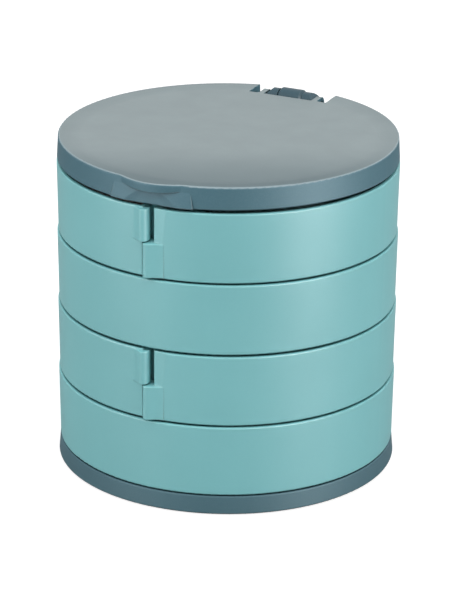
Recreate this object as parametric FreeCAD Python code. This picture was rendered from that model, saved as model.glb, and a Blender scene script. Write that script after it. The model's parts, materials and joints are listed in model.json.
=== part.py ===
import FreeCAD, Part
import math
import os

# Round four-layer jewellery box. A rod at the rear carries two layers of
# half-round trays that swing out sideways, one full-round tray that turns
# between them, a fixed bottom tray on a base, and a flip-up lid with a mirror.
# Millimetres. Origin: centre of the base on the resting plane.
# -Y is the front (lid tab, tray seams), +Y is the rear (rod, lid hinge).

os.makedirs("parts", exist_ok=True)
V = FreeCAD.Vector

# ---------------------------------------------------------------- dimensions
R_LAYER = 52.5          # outer radius at the top edge of every layer
DRAFT = 0.35            # the layers are this much smaller at their foot
LAYER_H = 22.0          # height of one layer
GAP = 0.6               # dark gap between layers
WALL = 1.8              # outer wall
SEAM_WALL = 1.6         # straight wall along the seam and the rear relief
FLOOR = 1.6
SEAM_GAP = 0.4          # half of the gap between two half trays

Z_L4 = 6.4              # foot of each layer
Z_L3 = 29.1
Z_L2 = 51.7
Z_L1 = 74.3
Z_LID = 97.0
LID_TOP = 104.0

PY = 46.0               # pivot axis, on x = 0
ROD_R = 3.0
ROD_BORE_R = 3.06       # running fit
HUB_R = 6.0             # knuckle and hub
HUB_CLEAR_R = 6.4       # room that the other half leaves round a knuckle
HUB_WALL_R = 8.0        # inside corner round the hub
HUB_DROP = 0.3          # the hub stops below the rim, room for a washer
REAR_CUT_DEG = 12.5     # half trays are cut back by this line behind the pivot
SWING_DEG = 75.0        # travel that the cut allows on each side

WASHER_R = 5.5
WASHER_T = 0.7

SLOT_X = 1.25           # upper half height: the right half is cut back to here
LIP_END = 0.4           # and the left half's lip ends here, left of the seam
LIP_UNDERCUT = 2.2      # behind the lip the left half's wall is cut back to here
COVER_X = 2.0           # lower half height: the right half's lip reaches over the seam to here
COVER_CUT = 2.45        # and the left half is cut back to here
NOTCH_Y = -46.5         # depth of the finger slot
TOP_DROP = 0.4          # the top layer's rim stops this much lower, under the lid
REBATE = 0.5            # small step round the inside of every rim

BASE_R_TOP = 52.2
BASE_R_FOOT = 52.7
BASE_TOP = 6.0
BASE_FOOT = 0.3
PAD_R = 50.5

LID_R_TOP = 52.0
LID_R_FOOT = 52.4
LID_PLATE = 2.0
CRESCENT_HALF = 10.2    # the finger lip under the lid's front edge: half width
CRESCENT_OUT = 1.95     # and how far it stands out
HINGE_Y = 46.0          # lid pin axis runs along X through here
HINGE_Z = 101.7
BLOCK_HALF = 8.0
BLOCK_R = 3.2
CAP_HALF = 4.2
CAP_R = 3.7
LID_NOTCH_X = 13.4
LID_NOTCH_Y = 42.0
ARM_IN = 8.3
ARM_OUT = 10.1
ARM_R = 2.3
PIN_R = 1.0
LID_RELIEF_R = 5.1      # the lid's rear corner stays inside this radius

MIRROR_Y = -1.0
MIRROR_R = 38.0

DIV_T = 1.4             # divider strips
DIV_H = 17.0


# ---------------------------------------------------------------- helpers
def box(x0, x1, y0, y1, z0, z1):
    return Part.makeBox(x1 - x0, y1 - y0, z1 - z0, V(x0, y0, z0))


def cyl(r, z0, z1, x=0.0, y=0.0):
    return Part.makeCylinder(r, z1 - z0, V(x, y, z0), V(0, 0, 1))


def cyl_x(r, x0, x1, y, z):
    return Part.makeCylinder(r, x1 - x0, V(x0, y, z), V(1, 0, 0))


def prism(pts, z0, z1):
    w = Part.makePolygon([V(x, y, z0) for x, y in pts] + [V(pts[0][0], pts[0][1], z0)])
    return Part.Face(w).extrude(V(0, 0, z1 - z0))


def revolved(profile):
    w = Part.makePolygon([V(r, 0, z) for r, z in profile] + [V(profile[0][0], 0, profile[0][1])])
    return Part.Face(w).revolve(V(0, 0, 0), V(0, 0, 1), 360)


def rim_edges(shape, z, r_min):
    out = []
    for e in shape.Edges:
        b = e.BoundBox
        if abs(b.ZMin - z) < 1e-3 and abs(b.ZMax - z) < 1e-3 and b.XLength > 1.6 * r_min:
            out.append(e)
    return out


def round_rim(shape, z, r_min, radius):
    edges = rim_edges(shape, z, r_min)
    return shape.makeFillet(radius, edges) if edges else shape


def vertical_edges(shape, pick):
    out = []
    for e in shape.Edges:
        b = e.BoundBox
        if b.XLength < 1e-4 and b.YLength < 1e-4 and b.ZLength > 1.0:
            if pick(b.XMin, b.YMin):
                out.append(e)
    return out


def one(shape, name):
    s = shape.removeSplitter()
    if len(s.Solids) != 1:
        raise RuntimeError("%s has %d solids" % (name, len(s.Solids)))
    return s.Solids[0]


def save(name, shape):
    solids = shape.Solids
    for s in solids:
        if not s.isValid():
            raise RuntimeError("%s is not valid" % name)
    out = solids[0] if len(solids) == 1 else Part.makeCompound(solids)
    out.exportStep("parts/%s.step" % name)
    bb = out.optimalBoundingBox(False, False)
    print("%-28s solids %d vol %9.1f  x %.2f..%.2f y %.2f..%.2f z %.2f..%.2f" % (
        name, len(solids), out.Volume, bb.XMin, bb.XMax, bb.YMin, bb.YMax, bb.ZMin, bb.ZMax))
    return out


def puck(z0, z1, top_round=0.35, foot_round=0.4):
    s = Part.makeCone(R_LAYER - DRAFT, R_LAYER, z1 - z0, V(0, 0, z0), V(0, 0, 1))
    s = round_rim(s, z1, 40, top_round)
    s = round_rim(s, z0, 40, foot_round)
    return s


# ---------------------------------------------------------------- half trays
def half_region(side, inset):
    # plan of one half: inside the seam line and in front of the rear cut line
    t = math.tan(math.radians(REAR_CUT_DEG))
    c = math.cos(math.radians(REAR_CUT_DEG))
    x0 = SEAM_GAP + inset
    drop = inset / c
    pts = [(x0, PY + x0 * t - drop), (x0, -90.0), (110.0, -90.0), (110.0, PY + 110.0 * t - drop)]
    return [(side * x, y) for x, y in pts]


# finger lips in plan: distance along the rim and height above it. The wall
# swells in a shallow S, then turns round a nose into the end face.
LIP_LEFT_SWELL = [(-6.0, -0.12), (-5.1, 0.02), (-4.2, 0.38), (-3.4, 0.90), (-2.8, 1.28), (-2.4, 1.48)]
LIP_LEFT_NOSE = [(-2.4, 1.48), (-1.9, 1.50), (-1.3, 1.25), (-0.8, 0.75), (-0.53, 0.10), (-0.42, -0.60), (-LIP_END, -1.30)]
LIP_RIGHT_SWELL = [(4.6, -0.12), (3.7, -0.02), (2.8, 0.16), (1.9, 0.50), (1.1, 0.96), (0.4, 1.40), (-0.1, 1.60)]
LIP_RIGHT_NOSE = [(-0.1, 1.60), (-0.6, 1.68), (-1.1, 1.56), (-1.55, 1.15), (-1.83, 0.55), (-1.96, -0.30), (-COVER_X, -1.30)]


def lip_spline(pts):
    c = Part.BSplineCurve()
    c.interpolate([V((R_LAYER + h) * math.sin(s / R_LAYER), -(R_LAYER + h) * math.cos(s / R_LAYER), 0)
                   for s, h in pts])
    return c.toShape()


def lip(side, z0, z1):
    if side < 0:
        swell, nose = lip_spline(LIP_LEFT_SWELL), lip_spline(LIP_LEFT_NOSE)
        root, tip = LIP_LEFT_SWELL[0], LIP_LEFT_NOSE[-1]
        inner = [(-LIP_END, -50.9), (-2.8, -50.85), (-5.6, -51.2)]
    else:
        swell, nose = lip_spline(LIP_RIGHT_SWELL), lip_spline(LIP_RIGHT_NOSE)
        root, tip = LIP_RIGHT_SWELL[0], LIP_RIGHT_NOSE[-1]
        inner = [(-COVER_X, -48.6), (2.2, -48.6), (3.4, -50.4)]
    r0 = R_LAYER + root[1]
    r1 = R_LAYER + tip[1]
    p0 = V(r0 * math.sin(root[0] / R_LAYER), -r0 * math.cos(root[0] / R_LAYER), 0)
    p1 = V(r1 * math.sin(tip[0] / R_LAYER), -r1 * math.cos(tip[0] / R_LAYER), 0)
    way = [p1] + [V(x, y, 0) for x, y in inner] + [p0]
    edges = [swell, nose] + [Part.makeLine(a, b) for a, b in zip(way[:-1], way[1:])]
    s = Part.Face(Part.Wire(Part.__sortEdges__(edges))).extrude(V(0, 0, z1 - z0))
    s.translate(V(0, 0, z0))
    if s.Volume < 0:
        s.reverse()
    # the outer edges of the lip's two ends are eased
    pick = []
    for e in s.Edges:
        b = e.BoundBox
        flat = abs(b.ZMin - b.ZMax) < 1e-3
        if flat and b.YMax < -50.6 and b.YMin < -52.0 and e.Length > 1.2 and not isinstance(e.Curve, Part.Line):
            pick.append(e)
    try:
        s2 = s.makeFillet(0.22, pick)
        if s2.isValid() and len(s2.Solids) == 1:
            s = s2.Solids[0]
        else:
            print("lip edges left sharp (not valid)", side)
    except Exception:
        print("lip edges left sharp", side)
    return s


def guide_ribs(b):
    # two slim ribs at each end of a divider hold it upright
    ribs = []
    z0, z1 = b.ZMin, b.ZMin + 14.0
    if b.YLength < b.XLength:
        for xa, xb in ((b.XMin - 3.0, b.XMin + 1.3), (b.XMax - 1.3, b.XMax + 3.0)):
            ribs.append(box(xa, xb, b.YMin - 0.9, b.YMin - 0.1, z0, z1))
            ribs.append(box(xa, xb, b.YMax + 0.1, b.YMax + 0.9, z0, z1))
    else:
        for ya, yb in ((b.YMin - 3.0, b.YMin + 1.3), (b.YMax - 1.3, b.YMax + 3.0)):
            ribs.append(box(b.XMin - 0.9, b.XMin - 0.1, ya, yb, z0, z1))
            ribs.append(box(b.XMax + 0.1, b.XMax + 0.9, ya, yb, z0, z1))
    return ribs


def rounded_strip(room, x0, x1, y0, y1, z0):
    # one divider: cut to the tray's inside with a little play, top corners eased
    s = box(x0, x1, y0, y1, z0 + 0.05, z0 + DIV_H)
    s = s.common(room)
    b = s.optimalBoundingBox(False, False)
    edges = []
    for e in s.Edges:
        eb = e.BoundBox
        if abs(eb.ZMin - b.ZMax) < 1e-3 and abs(eb.ZMax - b.ZMax) < 1e-3:
            short = min(b.XLength, b.YLength) + 1e-3
            if max(eb.XLength, eb.YLength) <= short + 0.8:
                edges.append(e)
    try:
        s2 = s.makeFillet(2.2, edges)
        if s2.isValid() and len(s2.Solids) == 1:
            s = s2
    except Exception:
        print("strip corners left sharp")
    return s.Solids[0], b


def half_tray(side, z0, knuckle_low, strips, top_drop=0.0):
    z1 = z0 + LAYER_H
    zw = z1 - top_drop
    zm = z0 + LAYER_H / 2.0
    body = puck(z0, zw).common(prism(half_region(side, 0.0), z0 - 1, z1 + 1))

    # inside
    cavity = cyl(R_LAYER - WALL, z0 + FLOOR, z1 + 2)
    cavity = cavity.common(prism(half_region(side, SEAM_WALL), z0, z1 + 3))
    cavity = cavity.cut(cyl(HUB_WALL_R, z0, z1 + 3, 0, PY))
    corner = box(0.0, 3.7, -60.0, -44.7, z0, z1 + 3)
    if side < 0:
        corner = corner.mirror(V(0, 0, 0), V(1, 0, 0))
    cavity = cavity.cut(corner)
    ve = vertical_edges(cavity, lambda x, y: True)
    try:
        c2 = cavity.makeFillet(1.6, ve)
        if c2.isValid() and len(c2.Solids) == 1:
            cavity = c2
    except Exception:
        print("cavity corners left sharp")
    body = body.cut(cavity)
    step = cyl(R_LAYER - WALL + REBATE, zw - 0.6, z1 + 2)
    step = step.common(prism(half_region(side, SEAM_WALL - REBATE), z0, z1 + 3))
    step = step.cut(cyl(HUB_WALL_R - REBATE, z0, z1 + 3, 0, PY))
    corner = box(0.0, 3.7 - REBATE, -60.0, -44.7 - REBATE, z0, z1 + 3)
    if side < 0:
        corner = corner.mirror(V(0, 0, 0), V(1, 0, 0))
    body = body.cut(step.cut(corner))

    # divider strips and their guide ribs
    out_strips = []
    for (sx0, sx1, sy0, sy1) in strips:
        inner = cyl(R_LAYER - WALL - 0.15, z0, z1 + 2).common(
            prism(half_region(side, SEAM_WALL + 0.15), z0, z1 + 3)).cut(
            cyl(HUB_WALL_R + 0.15, z0, z1 + 3, 0, PY))
        st, bb = rounded_strip(inner, sx0, sx1, sy0, sy1, z0 + FLOOR)
        out_strips.append(st)
        for rb in guide_ribs(bb):
            rb2 = rb.common(puck(z0, z1).common(prism(half_region(side, 0.5), z0 - 1, z1 + 1)))
            if rb2.Volume > 0.05:
                body = body.fuse(rb2)

    # finger slot: each half makes room for the other half's lip
    if side > 0:
        sz0, sz1 = zm, z1 + 1.0       # right half is cut in its upper half
        lz0, lz1 = z0 + 0.15, zm - 0.15
        slot = box(-0.5, SLOT_X, -70.0, NOTCH_Y, sz0, sz1)
        # shallow scoop beside the slot, running out to nothing
        scoop = prism([(0.5, -70.0), (0.5, -51.6), (SLOT_X, -51.75), (SLOT_X + 0.2, -51.98),
                       (5.3, -52.23), (5.3, -70.0)], sz0, sz1)
        body = body.cut(slot).cut(scoop)
    else:
        lz0, lz1 = zm + 0.15, zw - 0.35
        body = body.cut(box(-COVER_CUT, 0.5, -70.0, NOTCH_Y, z0 - 1.0, zm))
        body = body.cut(box(-LIP_UNDERCUT, 0.5, -70.0, NOTCH_Y, zm - 0.01, z1 + 1.0))
    whole = body.Volume
    body = body.fuse([lip(side, lz0, lz1)], 1e-4)
    if body.Volume < whole + 40.0:
        raise RuntimeError("the finger lip didn't join the wall")

    # knuckles: one half has the lower one, the other the upper one
    if knuckle_low:
        kz0, kz1 = z0, zm - 0.1
        body = body.cut(cyl(HUB_CLEAR_R, zm - 0.1, z1 + 1, 0, PY))
    else:
        kz0, kz1 = zm + 0.1, z1 - HUB_DROP
        body = body.cut(cyl(HUB_CLEAR_R, z0 - 1, zm + 0.1, 0, PY))
        body = body.cut(cyl(HUB_CLEAR_R, z1 - HUB_DROP, z1 + 1, 0, PY))
    knuckle = cyl(HUB_R, kz0, kz1, 0, PY)
    body = body.fuse(knuckle)
    body = body.cut(cyl(ROD_BORE_R, z0 - 1, z1 + 1, 0, PY))
    return body, out_strips


# ---------------------------------------------------------------- full trays
def full_tray(z0, strips, seat_drop=0.0):
    z1 = z0 + LAYER_H
    if seat_drop:
        z1 = z0 + LAYER_H + 0.1
    body = puck(z0, z1)
    floor_z = z0 + FLOOR - seat_drop / 2.0
    cavity = cyl(R_LAYER - WALL, floor_z, z1 + 2)
    cavity = cavity.cut(cyl(HUB_WALL_R, z0 - 2, z1 + 3, 0, PY))
    ve = vertical_edges(cavity, lambda x, y: True)
    try:
        c2 = cavity.makeFillet(1.6, ve)
        if c2.isValid() and len(c2.Solids) == 1:
            cavity = c2
    except Exception:
        print("cavity corners left sharp")
    if seat_drop:
        body = body.fuse(cyl(50.0, z0 - seat_drop, z0 + 0.5))
    body = body.cut(cavity)
    body = body.cut(cyl(R_LAYER - WALL + REBATE, z1 - 0.6, z1 + 2).cut(cyl(HUB_WALL_R - REBATE, z0, z1 + 3, 0, PY)))
    out_strips = []
    inner = cyl(R_LAYER - WALL - 0.15, z0 - 1, z1 + 2).cut(cyl(HUB_WALL_R + 0.15, z0 - 2, z1 + 3, 0, PY))
    for (sx0, sx1, sy0, sy1) in strips:
        st, bb = rounded_strip(inner, sx0, sx1, sy0, sy1, floor_z)
        out_strips.append(st)
        for rb in guide_ribs(bb):
            rb2 = rb.common(cyl(R_LAYER - 0.8, z0, z1))
            # a rib is kept where it grows out of a wall
            if rb2.Volume > 0.05 and rb2.distToShape(body)[0] < 1e-6:
                body = body.fuse(rb2)
    body = body.cut(cyl(HUB_CLEAR_R, z1 - HUB_DROP, z1 + 1, 0, PY))
    return body, out_strips


# ================================================================ base
base = revolved([(0, 1.2), (50.7, 1.2), (50.7, BASE_FOOT), (BASE_R_FOOT, BASE_FOOT),
                 (BASE_R_TOP, BASE_TOP), (50.4, BASE_TOP), (50.4, 2.6), (0, 2.6)])
edges = [e for e in base.Edges if abs(e.BoundBox.ZMax - BASE_FOOT) < 1e-3 and e.BoundBox.XLength > 103.0]
base = base.makeFillet(0.35, edges)
edges = [e for e in base.Edges if abs(e.BoundBox.ZMin - BASE_TOP) < 1e-3 and e.BoundBox.XLength > 103.0]
base = base.makeFillet(0.35, edges)
# ring rib, radial ribs and the rod boss carry the bottom tray
base = base.fuse(cyl(28.0, 2.2, BASE_TOP).cut(cyl(26.2, 2.0, 7.0)))
for deg in (0, 60, 120, 180, 240, 300):
    rib = box(27.0, 51.0, -0.8, 0.8, 2.2, BASE_TOP)
    rib.rotate(V(0, 0, 0), V(0, 0, 1), deg)
    base = base.fuse(rib)
base = base.fuse(cyl(6.3, 2.0, BASE_TOP, 0, PY).common(cyl(51.0, 1.0, 7.0)))
SCREW_AT = [(38.0 * math.cos(math.radians(d)), 38.0 * math.sin(math.radians(d))) for d in (30, 150, 270)]
for sx, sy in SCREW_AT:
    base = base.cut(cyl(1.35, 1.0, 3.0, sx, sy))
    base = base.cut(Part.makeCone(2.65, 1.35, 1.3, V(sx, sy, 1.2), V(0, 0, 1)))
base = base.cut(cyl(1.6, 1.0, 5.0, 0, PY))
base = base.cut(Part.makeCone(2.95, 1.6, 1.35, V(0, PY, 1.2), V(0, 0, 1)))
base = base.cut(cyl(3.03, 4.0, 7.0, 0, PY))
base = one(base, "base_plate")
save("base_plate", base)

pad = cyl(PAD_R, 0.0, 1.2)
pad = pad.makeFillet(0.25, [e for e in pad.Edges if abs(e.BoundBox.ZMax) < 1e-3 and e.BoundBox.XLength > 90])
save("anti_slip_pad", one(pad, "anti_slip_pad"))

# ================================================================ pivot rod
rod = cyl(ROD_R, 4.0, 99.5, 0, PY)
rod = rod.cut(cyl(1.5, 3.0, 15.0, 0, PY))
rod = rod.cut(cyl(1.25, 90.0, 100.0, 0, PY))
rod = rod.cut(box(-4, 4, PY + 2.3, PY + 4, 96.85, 101))
save("pivot_rod", one(rod, "pivot_rod"))

rod_screw = cyl(1.45, 2.4, 14.0, 0, PY)
rod_screw = rod_screw.fuse(Part.makeCone(2.85, 1.45, 1.3, V(0, PY, 1.25), V(0, 0, 1)))
rod_screw = rod_screw.cut(box(-1.6, 1.6, PY - 0.35, PY + 0.35, 1.0, 2.0))
rod_screw = rod_screw.cut(box(-0.35, 0.35, PY - 1.6, PY + 1.6, 1.0, 2.0))
save("pivot_rod_screw", one(rod_screw, "pivot_rod_screw"))

screws = []
for sx, sy in SCREW_AT:
    s = cyl(1.15, 2.3, 6.9, sx, sy).fuse(Part.makeCone(2.55, 1.15, 1.2, V(sx, sy, 1.25), V(0, 0, 1)))
    s = s.cut(box(sx - 1.4, sx + 1.4, sy - 0.3, sy + 0.3, 1.0, 1.9))
    s = s.cut(box(sx - 0.3, sx + 0.3, sy - 1.4, sy + 1.4, 1.0, 1.9))
    screws.append(one(s, "tray_4_screw"))
save("tray_4_screws", Part.makeCompound(screws))

washers = []
for z in (Z_L4 + LAYER_H - 0.1, Z_L3 + LAYER_H - 0.2, Z_L2 + LAYER_H - 0.2, Z_L1 + LAYER_H - 0.2):
    w = cyl(WASHER_R, z, z + WASHER_T, 0, PY).cut(cyl(3.03, z - 1, z + 2, 0, PY))
    washers.append(one(w, "hub_washer"))
save("hub_washers", Part.makeCompound(washers))

# ================================================================ layer 4
tray_4, strips_4 = full_tray(Z_L4, [(-17.7, -16.3, -60, 60), (16.3, 17.7, -60, 60)], seat_drop=0.4)
tray_4 = tray_4.fuse(cyl(HUB_R, 6.0, Z_L4 + LAYER_H + 0.1 - HUB_DROP, 0, PY))
tray_4 = tray_4.cut(cyl(3.03, 5.0, 40.0, 0, PY))
for sx, sy in SCREW_AT:
    tray_4 = tray_4.fuse(cyl(3.2, 2.65, 6.2, sx, sy))
    tray_4 = tray_4.cut(cyl(1.2, 2.0, 7.0, sx, sy))
tray_4 = one(tray_4, "tray_4")
save("tray_4", tray_4)
save("tray_4_divider_left", strips_4[0])
save("tray_4_divider_right", strips_4[1])

# ================================================================ layer 3
t3l, s3l = half_tray(-1, Z_L3, False, [(-60, 0, -16.7, -15.3), (-60, 0, 15.3, 16.7)])
t3r, s3r = half_tray(1, Z_L3, True, [(0, 60, -16.7, -15.3), (0, 60, 15.3, 16.7)])
save("tray_3_left", one(t3l, "tray_3_left"))
save("tray_3_left_divider_front", s3l[0])
save("tray_3_left_divider_rear", s3l[1])
save("tray_3_right", one(t3r, "tray_3_right"))
save("tray_3_right_divider_front", s3r[0])
save("tray_3_right_divider_rear", s3r[1])

# ================================================================ layer 2
t2, s2 = full_tray(Z_L2, [(-60, 60, -6.7, -5.3), (-0.7, 0.7, -60, -6.85), (-0.7, 0.7, -5.15, 60)])
t2 = t2.fuse(cyl(HUB_R, Z_L2, Z_L2 + LAYER_H - HUB_DROP, 0, PY))
t2 = t2.cut(cyl(ROD_BORE_R, Z_L2 - 1, Z_L2 + LAYER_H + 1, 0, PY))
save("tray_2", one(t2, "tray_2"))
save("tray_2_divider_cross", s2[0])
save("tray_2_divider_front", s2[1])
save("tray_2_divider_rear", s2[2])

# ================================================================ layer 1
t1l, s1l = half_tray(-1, Z_L1, False, [], TOP_DROP)
t1r, s1r = half_tray(1, Z_L1, True, [(0, 60, -18.7, -17.3), (0, 60, 13.3, 14.7)], TOP_DROP)
save("tray_1_left", one(t1l, "tray_1_left"))
save("tray_1_right", one(t1r, "tray_1_right"))
save("tray_1_right_divider_front", s1r[0])
save("tray_1_right_divider_rear", s1r[1])

# soft ring cushion that fills the left top tray
cz0 = Z_L1 + FLOOR + 0.1
cushion = cyl(R_LAYER - WALL - 0.5, cz0, cz0 + 15.5)
cushion = cushion.common(box(-60.0, -(SEAM_GAP + SEAM_WALL + 0.5), -41.0, 35.0, cz0 - 1, cz0 + 20))
try:
    c2 = cushion.makeFillet(2.0, vertical_edges(cushion, lambda x, y: True))
    if c2.isValid():
        cushion = c2
    top = [e for e in cushion.Edges if abs(e.BoundBox.ZMin - (cz0 + 15.5)) < 1e-3 and abs(e.BoundBox.ZMax - (cz0 + 15.5)) < 1e-3]
    c3 = cushion.makeFillet(1.5, top)
    if c3.isValid():
        cushion = c3
except Exception:
    print("cushion edges left sharp")
save("ring_cushion", one(cushion, "ring_cushion"))

# ================================================================ hinge block
ped = cyl(6.0, 96.9, 99.2, 0, PY).common(box(-6, 6, 42.8, 53, 96, 100))
block = ped.fuse(box(-BLOCK_HALF, BLOCK_HALF, HINGE_Y - BLOCK_R, HINGE_Y + BLOCK_R, 98.6, HINGE_Z))
block = block.fuse(cyl_x(BLOCK_R, -BLOCK_HALF, BLOCK_HALF, HINGE_Y, HINGE_Z))
# chamfered upper ends
for sgn in (-1, 1):
    w = Part.makePolygon([V(sgn * BLOCK_HALF, 30, HINGE_Z + 1.7), V(sgn * (BLOCK_HALF - 1.6), 30, HINGE_Z + 3.3),
                          V(sgn * (BLOCK_HALF + 1), 30, HINGE_Z + 3.3), V(sgn * BLOCK_HALF, 30, HINGE_Z + 1.7)])
    block = block.cut(Part.Face(w).extrude(V(0, 30, 0)))
# saddle for the cap, screw head room, seat on the rod
block = block.cut(box(-CAP_HALF - 0.05, CAP_HALF + 0.05, 40, 52, HINGE_Z + 1.2, 110))
block = block.cut(cyl(2.3, 100.8, 110, 0, PY))
block = block.cut(cyl(1.35, 99.0, 101.0, 0, PY))
seat = cyl(3.03, 96.0, 99.55, 0, PY).cut(box(-4, 4, PY + 2.35, PY + 4, 95, 100))
block = block.cut(seat)
for sgn in (-1, 1):
    x0, x1 = sorted((sgn * 4.9, sgn * 9.0))
    block = block.cut(cyl_x(PIN_R + 0.02, x0, x1, HINGE_Y, HINGE_Z))
save("hinge_block", one(block, "hinge_block"))

bs = cyl(1.2, 91.0, 100.9, 0, PY).fuse(cyl(2.1, 100.8, 102.3, 0, PY))
bs = bs.cut(box(-1.4, 1.4, PY - 0.3, PY + 0.3, 101.6, 103)).cut(box(-0.3, 0.3, PY - 1.4, PY + 1.4, 101.6, 103))
save("hinge_block_screw", one(bs, "hinge_block_screw"))

cap = cyl_x(CAP_R, -CAP_HALF, CAP_HALF, HINGE_Y, HINGE_Z).common(box(-5, 5, 40, 52, HINGE_Z + 1.2, 110))
cap = cap.makeChamfer(0.8, [e for e in cap.Edges if e.BoundBox.XLength < 1e-3 and e.BoundBox.ZLength > 1.0])
cap = cap.fuse(cyl(2.25, 102.4, HINGE_Z + 1.6, 0, PY))
save("hinge_block_cap", one(cap, "hinge_block_cap"))

pins = []
for sgn in (-1, 1):
    x0, x1 = sorted((sgn * 5.0, sgn * 9.9))
    p = cyl_x(PIN_R, x0, x1, HINGE_Y, HINGE_Z)
    p = p.makeChamfer(0.2, [e for e in p.Edges if e.BoundBox.XLength < 1e-3])
    pins.append(one(p, "lid_hinge_pin"))
save("lid_hinge_pins", Part.makeCompound(pins))

# ================================================================ lid
outer = revolved([(0, Z_LID), (LID_R_FOOT, Z_LID), (LID_R_TOP, LID_TOP), (0, LID_TOP)])
outer = outer.makeFillet(0.5, [e for e in outer.Edges if abs(e.BoundBox.ZMin - LID_TOP) < 1e-3 and e.BoundBox.XLength > 90])
outer = outer.makeFillet(0.3, [e for e in outer.Edges if abs(e.BoundBox.ZMax - Z_LID) < 1e-3 and e.BoundBox.XLength > 90])
# shallow sunk field on the top with a gentle slope up to the border near the rim
field = revolved([(0, LID_TOP - 0.18), (45.6, LID_TOP - 0.18), (48.9, LID_TOP + 0.02), (48.9, LID_TOP + 1), (0, LID_TOP + 1)])
hollow = revolved([(0, Z_LID - 1), (50.6, Z_LID - 1), (50.3, LID_TOP - LID_PLATE), (0, LID_TOP - LID_PLATE)])
lid = outer.cut(hollow)

# tab: a thin raised pad on the skirt that runs out towards the top, with
# slanted side edges
def at(r, deg):
    return (r * math.sin(math.radians(deg)), -r * math.cos(math.radians(deg)))


tab = Part.makeCone(LID_R_FOOT + 0.48, LID_R_FOOT - 0.30, 4.9, V(0, 0, Z_LID + 0.02), V(0, 0, 1))
tab = tab.cut(cyl(51.4, 90, 110)).common(prism([at(51.0, -12.15), at(54.6, -17.2), at(54.6, 17.2), at(51.0, 12.15)], 90, 110))
lid = lid.fuse(tab)
# crescent finger lip under the top edge
pts = []
for i in range(0, 37):
    x = -CRESCENT_HALF + 2.0 * CRESCENT_HALF * i / 36.0
    u = min(1.0, abs(x) / CRESCENT_HALF)
    h = CRESCENT_OUT * ((1.0 - u * u) ** 1.2)
    a = math.asin(x / LID_R_TOP)
    r = LID_R_TOP - 0.02 + h
    pts.append(V(r * math.sin(a), -r * math.cos(a), 0))
c = Part.BSplineCurve()
c.interpolate(pts)
inner = [pts[-1], V(CRESCENT_HALF - 0.3, -50.2, 0), V(0, -51.2, 0), V(0.3 - CRESCENT_HALF, -50.2, 0), pts[0]]
eds = [c.toShape()] + [Part.makeLine(a, b) for a, b in zip(inner[:-1], inner[1:])]
cres = Part.Face(Part.Wire(Part.__sortEdges__(eds))).extrude(V(0, 0, 8.0))
cres.translate(V(0, 0, LID_TOP - 8.0))
if cres.Volume < 0:
    cres.reverse()
cres = cres.common(Part.makeCylinder(64.0, 40, V(0, -70, 165.15), V(0, 1, 0)))
try:
    e = [e for e in cres.Edges if abs(e.BoundBox.ZMin - LID_TOP) < 1e-3 and e.BoundBox.YMin < -53.5]
    c2 = cres.makeFillet(0.6, e)
    if c2.isValid() and len(c2.Solids) == 1:
        cres = c2
except Exception:
    print("crescent edge left sharp")
lid = lid.fuse(cres)

# notch at the rear for the hinge, with its own walls
lid = lid.cut(box(-LID_NOTCH_X, LID_NOTCH_X, LID_NOTCH_Y, 60, 90, 110))
walls = box(-LID_NOTCH_X - 1.6, -LID_NOTCH_X, LID_NOTCH_Y - 1.6, 60, Z_LID, LID_TOP - 1)
walls = walls.fuse(box(LID_NOTCH_X, LID_NOTCH_X + 1.6, LID_NOTCH_Y - 1.6, 60, Z_LID, LID_TOP - 1))
walls = walls.fuse(box(-LID_NOTCH_X - 1.6, LID_NOTCH_X + 1.6, LID_NOTCH_Y - 1.6, LID_NOTCH_Y, Z_LID, LID_TOP - 1))
lid = lid.fuse(walls.common(outer))
# two arms with rounded ends and a small gusset at the root
for sgn in (-1, 1):
    plan = [(ARM_IN, 40.8), (ARM_OUT + 0.5, 40.8), (ARM_OUT + 0.5, LID_NOTCH_Y + 0.1), (ARM_OUT, 42.7),
            (ARM_OUT, 52.0), (ARM_IN, 52.0)]
    plan = [(sgn * x, y) for x, y in plan]
    x0, x1 = sorted((sgn * ARM_IN, sgn * (LID_NOTCH_X + 0.2)))
    side_view = box(x0, x1, 40.8, HINGE_Y, HINGE_Z - ARM_R, HINGE_Z + ARM_R).fuse(
        cyl_x(ARM_R, x0, x1, HINGE_Y, HINGE_Z))
    lid = lid.fuse(prism(plan, 95, 110).common(side_view))
    x0, x1 = sorted((sgn * 8.0, sgn * 12.0))
    lid = lid.cut(cyl_x(PIN_R + 0.06, x0, x1, HINGE_Y, HINGE_Z))
# the rear lower corner is rounded about the hinge axis so the lid can open
relief = box(-60, 60, HINGE_Y, 60, 90, HINGE_Z).cut(cyl_x(LID_RELIEF_R, -61, 61, HINGE_Y, HINGE_Z))
lid = lid.cut(relief)
lid = lid.cut(field)
lid = one(lid, "lid_shell")
save("lid_shell", lid)

adh = cyl(35.0, LID_TOP - LID_PLATE - 0.4, LID_TOP - LID_PLATE, 0, MIRROR_Y)
save("lid_mirror_adhesive", one(adh, "lid_mirror_adhesive"))
mir = cyl(MIRROR_R, LID_TOP - LID_PLATE - 1.9, LID_TOP - LID_PLATE - 0.4, 0, MIRROR_Y)
mir = mir.makeChamfer(0.3, [e for e in mir.Edges if abs(e.BoundBox.ZMax - (LID_TOP - LID_PLATE - 1.9)) < 1e-3 and e.BoundBox.XLength > 60])
save("lid_mirror", one(mir, "lid_mirror"))
bz = cyl(40.0, 99.5, LID_TOP - LID_PLATE, 0, MIRROR_Y).cut(cyl(MIRROR_R + 0.1, 100.05, 110, 0, MIRROR_Y))
bz = bz.cut(cyl(MIRROR_R - 1.0, 90, 110, 0, MIRROR_Y))
bz = bz.makeFillet(0.4, [e for e in bz.Edges if abs(e.BoundBox.ZMax - 99.5) < 1e-3 and e.BoundBox.XLength > 60])
save("lid_mirror_bezel", one(bz, "lid_mirror_bezel"))

print("nodes", len(os.listdir("parts")))
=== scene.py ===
import json
import math

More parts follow.
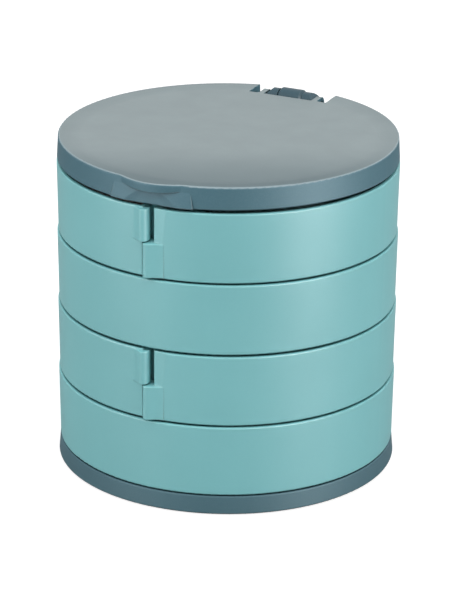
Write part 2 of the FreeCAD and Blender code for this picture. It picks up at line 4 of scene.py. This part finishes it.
import bmesh
import bpy
from mathutils import Matrix, Vector, noise

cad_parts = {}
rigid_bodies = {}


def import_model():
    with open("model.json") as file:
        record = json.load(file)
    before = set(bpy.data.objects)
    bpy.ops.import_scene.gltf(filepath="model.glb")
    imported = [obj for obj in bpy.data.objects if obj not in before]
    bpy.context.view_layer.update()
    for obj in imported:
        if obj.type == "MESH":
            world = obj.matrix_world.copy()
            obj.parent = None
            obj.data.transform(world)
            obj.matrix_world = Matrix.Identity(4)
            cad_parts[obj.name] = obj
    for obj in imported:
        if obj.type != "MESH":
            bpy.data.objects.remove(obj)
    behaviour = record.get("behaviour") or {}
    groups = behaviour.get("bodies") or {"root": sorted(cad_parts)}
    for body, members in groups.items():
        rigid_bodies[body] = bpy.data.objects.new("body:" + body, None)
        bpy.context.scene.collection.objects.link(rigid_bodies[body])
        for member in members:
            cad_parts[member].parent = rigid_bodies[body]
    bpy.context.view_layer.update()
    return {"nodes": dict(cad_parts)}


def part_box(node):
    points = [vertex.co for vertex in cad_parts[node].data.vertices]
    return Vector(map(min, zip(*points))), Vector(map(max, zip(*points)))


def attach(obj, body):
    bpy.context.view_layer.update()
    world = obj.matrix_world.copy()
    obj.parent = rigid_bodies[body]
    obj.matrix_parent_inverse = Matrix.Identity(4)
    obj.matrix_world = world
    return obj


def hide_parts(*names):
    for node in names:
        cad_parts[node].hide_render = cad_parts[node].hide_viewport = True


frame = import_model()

NODES = frame["nodes"]
MM = 0.001


# ------------------------------------------------------------------ helpers
def lin(r, g, b):
    """sRGB 0..255 to linear."""
    out = []
    for v in (r, g, b):
        v = v / 255.0
        out.append(v / 12.92 if v <= 0.04045 else ((v + 0.055) / 1.055) ** 2.4)
    return (out[0], out[1], out[2], 1.0)


class Nodes:
    """A small helper that builds a material's node tree."""

    def __init__(self, name):
        self.mat = bpy.data.materials.new(name)
        self.mat.use_nodes = True
        self.t = self.mat.node_tree
        self.t.nodes.clear()
        self.out = self.t.nodes.new("ShaderNodeOutputMaterial")
        self.bsdf = self.t.nodes.new("ShaderNodeBsdfPrincipled")
        self.t.links.new(self.bsdf.outputs[0], self.out.inputs[0])
        self.coord = self.t.nodes.new("ShaderNodeTexCoord")

    def new(self, kind, **props):
        n = self.t.nodes.new(kind)
        for k, v in props.items():
            setattr(n, k, v)
        return n

    def link(self, a, b):
        self.t.links.new(a, b)

    def place(self, scale=(1, 1, 1)):
        m = self.new("ShaderNodeMapping")
        m.inputs["Scale"].default_value = scale
        self.link(self.coord.outputs["Object"], m.inputs["Vector"])
        return m.outputs["Vector"]

    def noise(self, scale, detail=3.0, rough=0.5, vec=None, distortion=0.0):
        n = self.new("ShaderNodeTexNoise")
        n.inputs["Scale"].default_value = scale
        n.inputs["Detail"].default_value = detail
        n.inputs["Roughness"].default_value = rough
        n.inputs["Distortion"].default_value = distortion
        self.link(vec if vec is not None else self.coord.outputs["Object"], n.inputs["Vector"])
        return n.outputs["Fac"]

    def voronoi(self, scale, vec=None, feature="F1", out="Distance"):
        n = self.new("ShaderNodeTexVoronoi", feature=feature)
        n.inputs["Scale"].default_value = scale
        self.link(vec if vec is not None else self.coord.outputs["Object"], n.inputs["Vector"])
        return n.outputs[out]

    def remap(self, value, a, b, c, d, smooth=False):
        n = self.new("ShaderNodeMapRange")
        if smooth:
            n.interpolation_type = "SMOOTHSTEP"
        n.inputs["From Min"].default_value = a
        n.inputs["From Max"].default_value = b
        n.inputs["To Min"].default_value = c
        n.inputs["To Max"].default_value = d
        self.link(value, n.inputs["Value"])
        return n.outputs["Result"]

    def math(self, op, a, b=None, clamp=False):
        n = self.new("ShaderNodeMath", operation=op, use_clamp=clamp)
        for i, v in enumerate((a, b)):
            if v is None:
                continue
            if isinstance(v, (int, float)):
                n.inputs[i].default_value = v
            else:
                self.link(v, n.inputs[i])
        return n.outputs[0]

    def mix(self, fac, a, b, blend="MIX"):
        n = self.new("ShaderNodeMix", data_type="RGBA", blend_type=blend)
        if isinstance(fac, (int, float)):
            n.inputs[0].default_value = fac
        else:
            self.link(fac, n.inputs[0])
        for i, v in ((6, a), (7, b)):
            if isinstance(v, tuple):
                n.inputs[i].default_value = v
            else:
                self.link(v, n.inputs[i])
        return n.outputs[2]

    def edge(self, radius):
        """0 on flat stretches and up to 1 along convex and concave edges."""
        b = self.new("ShaderNodeBevel", samples=6)
        b.inputs["Radius"].default_value = radius
        g = self.new("ShaderNodeNewGeometry")
        d = self.new("ShaderNodeVectorMath", operation="DOT_PRODUCT")
        self.link(b.outputs["Normal"], d.inputs[0])
        self.link(g.outputs["Normal"], d.inputs[1])
        return self.remap(d.outputs["Value"], 1.0, 0.90, 0.0, 1.0), b

    def shade(self, distance, lo, hi, samples=6):
        """1 in the open and 0 in narrow gaps and slots."""
        n = self.new("ShaderNodeAmbientOcclusion", samples=samples)
        n.inputs["Distance"].default_value = distance
        return self.remap(n.outputs["AO"], lo, hi, 0.0, 1.0, smooth=True)

    def radius(self):
        """Distance from the box's own axis, in millimetres."""
        x = self.new("ShaderNodeSeparateXYZ")
        self.link(self.coord.outputs["Object"], x.inputs[0])
        xx = self.math("MULTIPLY", x.outputs[0], x.outputs[0])
        yy = self.math("MULTIPLY", x.outputs[1], x.outputs[1])
        return self.math("MULTIPLY", self.math("SQRT", self.math("ADD", xx, yy)), 1000.0)

    def bump(self, height, strength, distance, normal=None):
        n = self.new("ShaderNodeBump")
        n.inputs["Strength"].default_value = strength
        n.inputs["Distance"].default_value = distance
        self.link(height, n.inputs["Height"])
        if normal is not None:
            self.link(normal, n.inputs["Normal"])
        return n.outputs["Normal"]

    def set(self, **kw):
        names = {"color": "Base Color", "rough": "Roughness", "metal": "Metallic", "normal": "Normal",
                 "spec": "Specular IOR Level", "sheen": "Sheen Weight", "sheen_rough": "Sheen Roughness",
                 "sheen_tint": "Sheen Tint", "sss": "Subsurface Weight", "ior": "IOR", "coat": "Coat Weight",
                 "coat_rough": "Coat Roughness", "aniso": "Anisotropic", "sss_radius": "Subsurface Radius",
                 "sss_scale": "Subsurface Scale"}
        for k, v in kw.items():
            s = self.bsdf.inputs[names[k]]
            if hasattr(v, "is_linked") or isinstance(v, bpy.types.NodeSocket):
                self.link(v, s)
            else:
                s.default_value = v
        return self.mat


# ------------------------------------------------------------------ materials
def moulded(name, base, light, rough=(0.36, 0.46), grain=0.5, edge_light=0.35, streak=0.5, spec=0.5,
            top=None, shallow=0.0, painted_gap_shade=(0.02, 0.20, 0.20), tint=(1.0, 1.0, 1.0, 1.0),
            open_at=0.58):
    """Injection-moulded plastic: fine spark-eroded grain, slight flow marks, eased edges lighter from wear and a
    painted highlight, painted shade in the narrow gaps. top is the colour of an upward face with a coarser texture,
    paler partly from its finish and partly as painted sheen, with painted shade towards its front and rim and a painted
    highlight on its eased edge."""
    m = Nodes(name)
    e, bev = m.edge(0.0005)
    big = m.noise(22.0, 3.0, 0.55)
    flow = m.noise(1.0, 4.0, 0.6, vec=m.place((70.0, 70.0, 9.0)), distortion=0.6)
    fine = m.noise(2600.0, 2.0, 0.6)
    cells = m.voronoi(3400.0)
    shade = m.math("ADD", m.math("MULTIPLY", big, 0.5), m.math("MULTIPLY", flow, 0.5 * streak))
    mask = m.remap(shade, 0.28, 0.62, 0.0, 1.0)
    lo = tuple(c * 0.965 for c in base[:3]) + (1.0,)
    hi = tuple(min(1.0, c * 1.035) for c in base[:3]) + (1.0,)
    col = m.mix(mask, lo, hi)
    # painted sheen: upward faces take the paler top colour, partly their frosted finish and partly a painted sheen from
    # their glancing reflection
    if top is not None:
        sep = m.new("ShaderNodeSeparateXYZ")
        m.link(m.coord.outputs["Normal"], sep.inputs[0])
        # painted shade: the face darkens softly towards its front border and outer rim, where its sheen falls off
        pos = m.new("ShaderNodeSeparateXYZ")
        m.link(m.coord.outputs["Object"], pos.inputs[0])
        ahead = m.math("ADD", m.math("MULTIPLY", pos.outputs[0], 430.0), m.math("MULTIPLY", pos.outputs[1], -900.0))
        front = m.remap(ahead, 10.0, 50.0, 0.0, 1.0, smooth=True)
        painted_rim_shade = m.math("ADD", m.math("MULTIPLY", front, 0.80), m.remap(m.radius(), 44.0, 51.0, 0.0, 0.20, smooth=True))
        mottled = m.remap(m.noise(95.0, 5.0, 0.62), 0.30, 0.70, 0.0, 1.0)
        face = m.mix(mottled, tuple(v * 0.96 for v in top[:3]) + (1.0,), tuple(v * 1.04 for v in top[:3]) + (1.0,))
        # ring is the colour of that painted shade at the front border and rim
        ring = (top[0] * 0.47, top[1] * 0.54, top[2] * 0.57, 1.0)
        col = m.mix(m.remap(sep.outputs["Z"], 0.80, 0.97, 0.0, 1.0), col, m.mix(painted_rim_shade, face, ring))
        # painted highlight: a thin pale line along the eased top edge
        own = m.new("ShaderNodeVectorTransform", vector_type="NORMAL", convert_from="WORLD", convert_to="OBJECT")
        m.link(bev.outputs["Normal"], own.inputs[0])
        tip = m.new("ShaderNodeSeparateXYZ")
        m.link(own.outputs[0], tip.inputs[0])
        painted_rim_highlight = m.math("MULTIPLY", m.remap(tip.outputs["Z"], 0.42, 0.70, 0.0, 0.68, smooth=True),
                      m.remap(tip.outputs["Z"], 0.90, 0.985, 1.0, 0.0, smooth=True))
        col = m.mix(m.math("MULTIPLY", painted_rim_highlight, m.remap(m.radius(), 48.5, 50.0, 0.0, 1.0)), col, lin(164, 177, 181))
    speck = m.remap(fine, 0.35, 0.70, 0.0, 0.045)
    col = m.mix(speck, col, light)
    # eased edges are lightened, partly as wear and partly as a painted highlight along them
    wear_and_edge_highlight = m.math("MULTIPLY", m.math("MULTIPLY", e, m.remap(m.noise(420.0, 4.0, 0.65), 0.30, 0.70, 0.45, 1.0)), edge_light)
    col = m.mix(wear_and_edge_highlight, col, light)
    # painted shade: narrow gaps and slots are darkened towards the painted gap shade colour
    occ = m.math("MAXIMUM", m.shade(0.0018, 0.10, open_at), shallow)
    col = m.mix(occ, tuple(base[i] * painted_gap_shade[i] for i in range(3)) + (1.0,), col)
    r = m.remap(m.math("ADD", m.math("MULTIPLY", big, 0.55), m.math("MULTIPLY", fine, 0.45)), 0.3, 0.7, rough[0], rough[1])
    r = m.math("ADD", r, m.math("MULTIPLY", e, 0.18))
    h = m.math("ADD", m.math("MULTIPLY", cells, 0.6), m.math("MULTIPLY", fine, 0.8))
    n = m.bump(h, grain * 0.30, 0.00004, bev.outputs["Normal"])
    n = m.bump(m.noise(90.0, 2.0, 0.4), 0.05, 0.0004, n)
    m.set(color=col, rough=r, normal=n, spec=spec)
    m.set(ior=1.5)
    m.bsdf.inputs["Specular Tint"].default_value = tint
    return m.mat


MINT = moulded("moulded_mint", lin(121, 188, 192), lin(172, 218, 218))
SLATE = moulded("moulded_slate", lin(63, 102, 115), lin(150, 172, 178), rough=(0.50, 0.60), edge_light=0.45,
                top=lin(132, 143, 145), spec=0.34, painted_gap_shade=(0.05, 0.06, 0.06), tint=(0.84, 1.0, 1.06, 1.0),
                open_at=0.80)
BASE = moulded("moulded_base", lin(69, 102, 113), lin(126, 152, 158), rough=(0.46, 0.56), edge_light=0.22, spec=0.28,
               painted_gap_shade=(0.10, 0.20, 0.20), tint=(0.84, 1.0, 1.04, 1.0))
DARK = moulded("moulded_hinge", lin(40, 72, 84), lin(118, 142, 147), rough=(0.34, 0.46), edge_light=0.35)
STRIP = moulded("moulded_strip", lin(164, 203, 205), lin(205, 230, 230), rough=(0.30, 0.42), edge_light=0.30,
                shallow=0.5)


def steel(name, base, scale, rough):
    m = Nodes(name)
    lines = m.noise(1.0, 5.0, 0.7, vec=m.place(scale))
    spots = m.noise(160.0, 4.0, 0.6)
    col = m.mix(m.remap(lines, 0.3, 0.7, 0.0, 1.0), tuple(c * 0.86 for c in base[:3]) + (1.0,), base)
    col = m.mix(m.remap(spots, 0.55, 0.75, 0.0, 0.25), col, lin(120, 116, 108))
    e, bev = m.edge(0.00015)
    r = m.remap(m.math("ADD", m.math("MULTIPLY", lines, 0.6), m.math("MULTIPLY", spots, 0.4)), 0.3, 0.7, rough[0], rough[1])
    n = m.bump(lines, 0.10, 0.00003, bev.outputs["Normal"])
    m.set(color=col, rough=r, normal=n, metal=1.0)
    return m.mat


ROD = steel("drawn_steel", lin(196, 198, 200), (2200.0, 2200.0, 60.0), (0.20, 0.34))
PIN = steel("pin_steel", lin(190, 192, 194), (60.0, 2200.0, 2200.0), (0.20, 0.34))
SCREW = steel("plated_screw", lin(206, 206, 202), (900.0, 900.0, 900.0), (0.16, 0.30))


def nylon():
    m = Nodes("natural_nylon")
    a = m.noise(300.0, 4.0, 0.6)
    col = m.mix(m.remap(a, 0.3, 0.7, 0.0, 1.0), lin(222, 220, 208), lin(238, 237, 229))
    n = m.bump(m.noise(1800.0, 3.0, 0.6), 0.12, 0.00003)
    m.set(color=col, rough=m.remap(a, 0.3, 0.7, 0.32, 0.48), normal=n, sss=0.12, sss_scale=0.001)
    return m.mat


def foam_rubber():
    m = Nodes("foam_rubber")
    pores = m.voronoi(1500.0)
    big = m.noise(45.0, 3.0, 0.6)
    hole = m.remap(pores, 0.10, 0.34, 1.0, 0.0, smooth=True)
    col = m.mix(m.remap(big, 0.3, 0.7, 0.0, 1.0), lin(52, 58, 60), lin(70, 77, 79))
    col = m.mix(m.math("MULTIPLY", hole, 0.6), col, lin(26, 30, 31))
    n = m.bump(pores, 0.55, 0.00025)
    m.set(color=col, rough=m.remap(big, 0.3, 0.7, 0.82, 0.94), normal=n, spec=0.3)
    return m.mat


def tape():
    m = Nodes("foam_tape")
    a = m.noise(900.0, 4.0, 0.6)
    col = m.mix(m.remap(a, 0.3, 0.7, 0.0, 1.0), lin(212, 212, 205), lin(230, 230, 225))
    m.set(color=col, rough=m.remap(a, 0.3, 0.7, 0.7, 0.85), normal=m.bump(a, 0.4, 0.0001))
    return m.mat


def silvered():
    """Back-silvered mirror glass: near-perfect reflection, faint smudges, a greener ground edge."""
    m = Nodes("silvered_glass")
    smear = m.noise(1.0, 4.0, 0.6, vec=m.place((38.0, 90.0, 40.0)), distortion=1.2)
    prints = m.noise(260.0, 3.0, 0.5, distortion=0.8)
    g = m.new("ShaderNodeNewGeometry")
    sep = m.new("ShaderNodeSeparateXYZ")
    m.link(g.outputs["True Normal"], sep.inputs[0])
    c = m.new("ShaderNodeTexCoord")
    sep2 = m.new("ShaderNodeSeparateXYZ")
    m.link(c.outputs["Normal"], sep2.inputs[0])
    side = m.remap(m.math("ABSOLUTE", sep2.outputs["Z"]), 0.80, 0.97, 1.0, 0.0)
    col = m.mix(side, lin(226, 232, 234), lin(150, 186, 176))
    base_r = m.remap(m.math("MULTIPLY", smear, prints), 0.10, 0.50, 0.015, 0.055)
    r = m.math("ADD", base_r, m.math("MULTIPLY", side, 0.25))
    m.set(color=col, rough=r, metal=1.0)
    return m.mat


def velvet():
    m = Nodes("short_pile_velvet")
    pile = m.noise(3000.0, 3.0, 0.7)
    brushed = m.noise(1.0, 4.0, 0.6, vec=m.place((60.0, 160.0, 60.0)), distortion=1.4)
    fibre = m.voronoi(4200.0)
    col = m.mix(m.remap(brushed, 0.34, 0.68, 0.0, 1.0), lin(206, 203, 196), lin(232, 230, 224))
    col = m.mix(m.remap(pile, 0.3, 0.7, 0.0, 0.30), col, lin(180, 176, 168))
    h = m.math("ADD", m.math("MULTIPLY", pile, 0.7), m.math("MULTIPLY", fibre, 0.5))
    n = m.bump(h, 0.55, 0.00018)
    n = m.bump(brushed, 0.20, 0.0005, n)
    m.set(color=col, rough=m.remap(pile, 0.3, 0.7, 0.80, 0.95), normal=n, spec=0.2)
    m.set(sheen=0.65, sheen_rough=0.35, sheen_tint=lin(250, 248, 244))
    return m.mat


NYLON, PAD, TAPE, GLASS, VELVET = nylon(), foam_rubber(), tape(), silvered(), velvet()

look = {
    "base_plate": BASE, "anti_slip_pad": PAD, "pivot_rod": ROD, "pivot_rod_screw": SCREW,
    "tray_4_screws": SCREW, "hub_washers": NYLON, "hinge_block": DARK, "hinge_block_cap": DARK,
    "hinge_block_screw": SCREW, "lid_hinge_pins": PIN, "lid_shell": SLATE, "lid_mirror": GLASS,
    "lid_mirror_bezel": SLATE, "lid_mirror_adhesive": TAPE,
}
for name, obj in NODES.items():
    mat = look.get(name) or (STRIP if "divider" in name else MINT)
    obj.data.materials.clear()
    obj.data.materials.append(mat)


# ------------------------------------------------------------------ ring cushion
CUSHION_WALL = 49.6 * MM      # round side of the cushion, just inside the tray's wall
CUSHION_ROLLS = 9
CUSHION_INSET = 1.1 * MM      # the form starts this much smaller and swells back


def cushion_limits():
    lo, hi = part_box("ring_cushion")
    return (lo.x + 0.4 * MM, hi.x - 0.4 * MM, lo.y + 0.4 * MM, hi.y - 0.4 * MM, lo.z + 0.1 * MM, hi.z - 1.0 * MM)


def cushion_form():
    """A closed, crowned pad with one straight side and one round side, before it is stuffed."""
    x0, x1, y0, y1, zb, zt = cushion_limits()
    g = CUSHION_INSET
    x0, x1, y0, y1, zb, zt, wall = x0 + g, x1 - g, y0 + g, y1 - g, zb + 0.3 * MM, zt - 0.9 * MM, CUSHION_WALL - g
    bm = bmesh.new()
    rows, cols = 70, 46
    top, bot = [], []
    for j in range(rows + 1):
        y = y0 + (y1 - y0) * j / rows
        left = max(x0, -math.sqrt(max(1e-9, wall * wall - y * y)))
        d_row = min(y - y0, y1 - y) / (3.0 * MM)
        row_t, row_b = [], []
        for i in range(cols + 1):
            f = 0.5 - 0.5 * math.cos(math.pi * i / cols)
            x = left + (x1 - left) * f
            d = min(1.0, d_row, min(x - left, x1 - x) / (3.2 * MM))
            z = zt - 3.4 * MM * (1.0 - math.sqrt(max(0.0, 1.0 - (1.0 - d) ** 2)))
            row_t.append(bm.verts.new((x, y, z)))
            row_b.append(bm.verts.new((x, y, zb)))
        top.append(row_t)
        bot.append(row_b)
    for j in range(rows):
        for i in range(cols):
            bm.faces.new((top[j][i], top[j][i + 1], top[j + 1][i + 1], top[j + 1][i]))
            bm.faces.new((bot[j][i], bot[j + 1][i], bot[j + 1][i + 1], bot[j][i + 1]))
    for j in range(rows):
        bm.faces.new((top[j][0], top[j + 1][0], bot[j + 1][0], bot[j][0]))
        bm.faces.new((top[j + 1][cols], top[j][cols], bot[j][cols], bot[j + 1][cols]))
    for i in range(cols):
        bm.faces.new((top[0][i + 1], top[0][i], bot[0][i], bot[0][i + 1]))
        bm.faces.new((top[rows][i], top[rows][i + 1], bot[rows][i + 1], bot[rows][i]))
    bmesh.ops.recalc_face_normals(bm, faces=bm.faces)
    me = bpy.data.meshes.new("ring_rolls")
    bm.to_mesh(me)
    bm.free()
    ob = bpy.data.objects.new("ring_rolls", me)
    bpy.context.scene.collection.objects.link(ob)
    return ob


def baked(ob):
    """The object's mesh with its modifiers applied, and none left on it."""
    me = bpy.data.meshes.new_from_object(ob.evaluated_get(bpy.context.evaluated_depsgraph_get()))
    ob.modifiers.clear()
    ob.data = me
    return me


def stuffed(ob, voxel, pressure, cap):
    """Even quads over the form, then cloth under pressure; no point moves further than cap."""
    mod = ob.modifiers.new("even", "REMESH")
    mod.mode = "VOXEL"
    mod.voxel_size = voxel
    me = baked(ob)
    start = [v.co.copy() for v in me.vertices]
    mod = ob.modifiers.new("cloth", "CLOTH")
    c = mod.settings
    c.quality = 6
    c.mass = 0.3
    c.use_pressure = True
    c.uniform_pressure_force = pressure
    c.effector_weights.gravity = 0.0
    for f in range(1, 21):
        bpy.context.scene.frame_set(f)
    out = ob.evaluated_get(bpy.context.evaluated_depsgraph_get()).data
    moved = [out.vertices[i].co.copy() for i in range(len(start))]
    ob.modifiers.clear()
    for i, v in enumerate(me.vertices):
        d = moved[i] - start[i]
        if d.length > cap:
            d *= cap / d.length
        v.co = start[i] + d
    bpy.context.scene.frame_set(1)


def finer(ob):
    mod = ob.modifiers.new("finer", "SUBSURF")
    mod.levels = 1
    mod.render_levels = 1
    return baked(ob)


def cushion_piece():
    """Velvet-covered foam rolls side by side, as ring holders are made, cut to the tray's round wall."""
    x0, x1, y0, y1, zb, zt = cushion_limits()
    ob = cushion_form()
    stuffed(ob, 2.0 * MM, 4.0, CUSHION_INSET)
    me = finer(ob)
    pitch = (y1 - y0) / CUSHION_ROLLS
    crown = max(v.co.z for v in me.vertices)
    lift = zt - crown
    for v in me.vertices:
        x, y, z = v.co
        high = min(1.0, max(0.0, (z - (crown - 6.5 * MM)) / (4.0 * MM)))
        t = ((y - y0) / pitch) % 1.0
        arch = math.sqrt(max(0.0, 1.0 - (2.0 * t - 1.0) ** 2))
        z += high * (lift - 5.4 * MM * (1.0 - arch))
        z += high * 0.35 * MM * noise.noise(Vector((x * 60.0, y * 60.0, 3.1)))
        # the covering draws in at the ends of each channel
        x += high * (1.0 - arch) * 0.9 * MM * (1.0 if x < (x0 + x1) / 2 else -1.0) * (1.0 if min(x - x0, x1 - x) < 6 * MM or x * x + y * y > 43 * 43 * MM * MM else 0.0)
        r = math.hypot(x, y)
        if r > CUSHION_WALL:
            x, y = x * CUSHION_WALL / r, y * CUSHION_WALL / r
        v.co = (min(x1, max(x0, x)), min(y1, max(y0, y)), min(zt, max(zb, z)))
    me = finer(ob)
    for p in me.polygons:
        p.use_smooth = True
    me.materials.append(VELVET)
    return ob


rolls = cushion_piece()
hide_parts("ring_cushion")
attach(rolls, "tray_1_left")

# ------------------------------------------------------------------ stage
scene = bpy.context.scene
scene.view_settings.view_transform = "Standard"
scene.view_settings.look = "None"

bpy.ops.mesh.primitive_plane_add(size=12.0, location=(0, 0, -0.00005))
floor = bpy.context.object
floor.name = "floor"
fm = Nodes("floor_paper")
fm.t.nodes.remove(fm.bsdf)
dif = fm.new("ShaderNodeBsdfDiffuse")
fib = fm.noise(600.0, 4.0, 0.6)
fm.link(fm.mix(fib, (0.36, 0.36, 0.36, 1), (0.40, 0.40, 0.40, 1)), dif.inputs[0])
emi = fm.new("ShaderNodeEmission")
emi.inputs["Color"].default_value = (1, 1, 1, 1)
seen = fm.new("ShaderNodeLightPath")
fm.link(fm.math("MULTIPLY", seen.outputs["Is Camera Ray"], 0.76), emi.inputs["Strength"])
add = fm.new("ShaderNodeAddShader")
fm.link(dif.outputs[0], add.inputs[0])
fm.link(emi.outputs[0], add.inputs[1])
fm.link(add.outputs[0], fm.out.inputs[0])
floor.data.materials.append(fm.mat)

world = bpy.data.worlds.new("studio")
scene.world = world
world.use_nodes = True
wt = world.node_tree
wt.nodes.clear()
wo = wt.nodes.new("ShaderNodeOutputWorld")
bg = wt.nodes.new("ShaderNodeBackground")
bg.inputs["Color"].default_value = (1, 1, 1, 1)
sky = wt.nodes.new("ShaderNodeTexCoord")
sky_z = wt.nodes.new("ShaderNodeSeparateXYZ")
sky_r = wt.nodes.new("ShaderNodeMapRange")
sky_r.interpolation_type = "SMOOTHSTEP"
for key, v in (("From Min", 0.0), ("From Max", 0.42), ("To Min", 0.26), ("To Max", 0.86)):
    sky_r.inputs[key].default_value = v
wt.links.new(sky.outputs["Generated"], sky_z.inputs[0])
wt.links.new(sky_z.outputs[2], sky_r.inputs["Value"])
wt.links.new(sky_r.outputs["Result"], bg.inputs["Strength"])
bg2 = wt.nodes.new("ShaderNodeBackground")
bg2.inputs["Color"].default_value = (1, 1, 1, 1)
bg2.inputs["Strength"].default_value = 1.05
lp = wt.nodes.new("ShaderNodeLightPath")
mx = wt.nodes.new("ShaderNodeMixShader")
wt.links.new(lp.outputs["Is Camera Ray"], mx.inputs[0])
wt.links.new(bg.outputs[0], mx.inputs[1])
wt.links.new(bg2.outputs[0], mx.inputs[2])
wt.links.new(mx.outputs[0], wo.inputs[0])


def area(name, azimuth, elevation, dist, size, power, aim=(0, 0, 0.05), color=(1, 1, 1), diffuse=True, glossy=True):
    """A soft box. Azimuth 0 stands at the front, 90 at the right."""
    a, e = math.radians(azimuth), math.radians(elevation)
    d = Vector((math.sin(a) * math.cos(e), -math.cos(a) * math.cos(e), math.sin(e)))
    li = bpy.data.lights.new(name, "AREA")
    li.shape = "RECTANGLE"
    li.size, li.size_y = size
    li.energy = power
    li.color = color
    o = bpy.data.objects.new(name, li)
    o.location = Vector(aim) + d * dist
    o.rotation_mode = "QUATERNION"
    o.rotation_quaternion = (-d).to_track_quat("-Z", "Y")
    o.visible_diffuse = diffuse
    o.visible_glossy = glossy
    o.visible_camera = False
    scene.collection.objects.link(o)
    return o


area("key", 82, 28, 1.0, (0.5, 0.6), 3.6, glossy=False)
area("fill", -42, 26, 1.0, (0.5, 0.6), 2.6, glossy=False)
area("strip_right", 80, 3, 0.7, (0.40, 0.42), 18.0, diffuse=False)
area("strip_left", -31, 3, 0.8, (0.50, 0.42), 9.5, diffuse=False)
strips = [o for o in scene.objects if o.name.startswith("strip_")]
unlit = bpy.data.collections.new("mirror_without_strips")
unlit.objects.link(NODES["lid_mirror"])
for o in strips:
    o.light_linking.receiver_collection = unlit
unlit.collection_objects[0].light_linking.link_state = "EXCLUDE"
area("back", 206, 5, 0.42, (0.50, 0.05), 0.10, aim=(0, 0, 0.1), diffuse=False)
area("top", 26, 66, 0.8, (0.8, 0.4), 1.4, aim=(0, 0, 0.1))

# ------------------------------------------------------------------ camera
FIT_F, FIT_A, FIT_H = 3040.0, 883.76, 388.20
PITCH, YAW, ROLL = math.radians(20.983), math.radians(0.045), math.radians(-0.466)
TURN = math.radians(26.0)
cp, sp = math.cos(PITCH), math.sin(PITCH)
cw, sw = math.cos(YAW), math.sin(YAW)
cr, sr = math.cos(ROLL), math.sin(ROLL)
rz = Matrix(((cw, -sw, 0), (sw, cw, 0), (0, 0, 1)))
rx = Matrix(((1, 0, 0), (0, cp, sp), (0, -sp, cp)))
ry = Matrix(((cr, 0, sr), (0, 1, 0), (-sr, 0, cr)))
turn = Matrix.Rotation(TURN, 3, "Z")
r = turn @ rz @ rx @ ry
right, ahead, up = r.col[0], r.col[1], r.col[2]
pos = turn @ Vector((0.0, -FIT_A * MM, FIT_H * MM))
cam = bpy.data.cameras.new("camera")
cam.sensor_fit = "AUTO"
cam.sensor_width = 36.0
cam.lens = FIT_F * 36.0 / 600.0
cam.clip_start, cam.clip_end = 0.05, 20.0
cam_o = bpy.data.objects.new("camera", cam)
m4 = Matrix.Identity(4)
for i in range(3):
    m4[i][0], m4[i][1], m4[i][2], m4[i][3] = right[i], up[i], -ahead[i], pos[i]
cam_o.matrix_world = m4
scene.collection.objects.link(cam_o)
scene.camera = cam_o
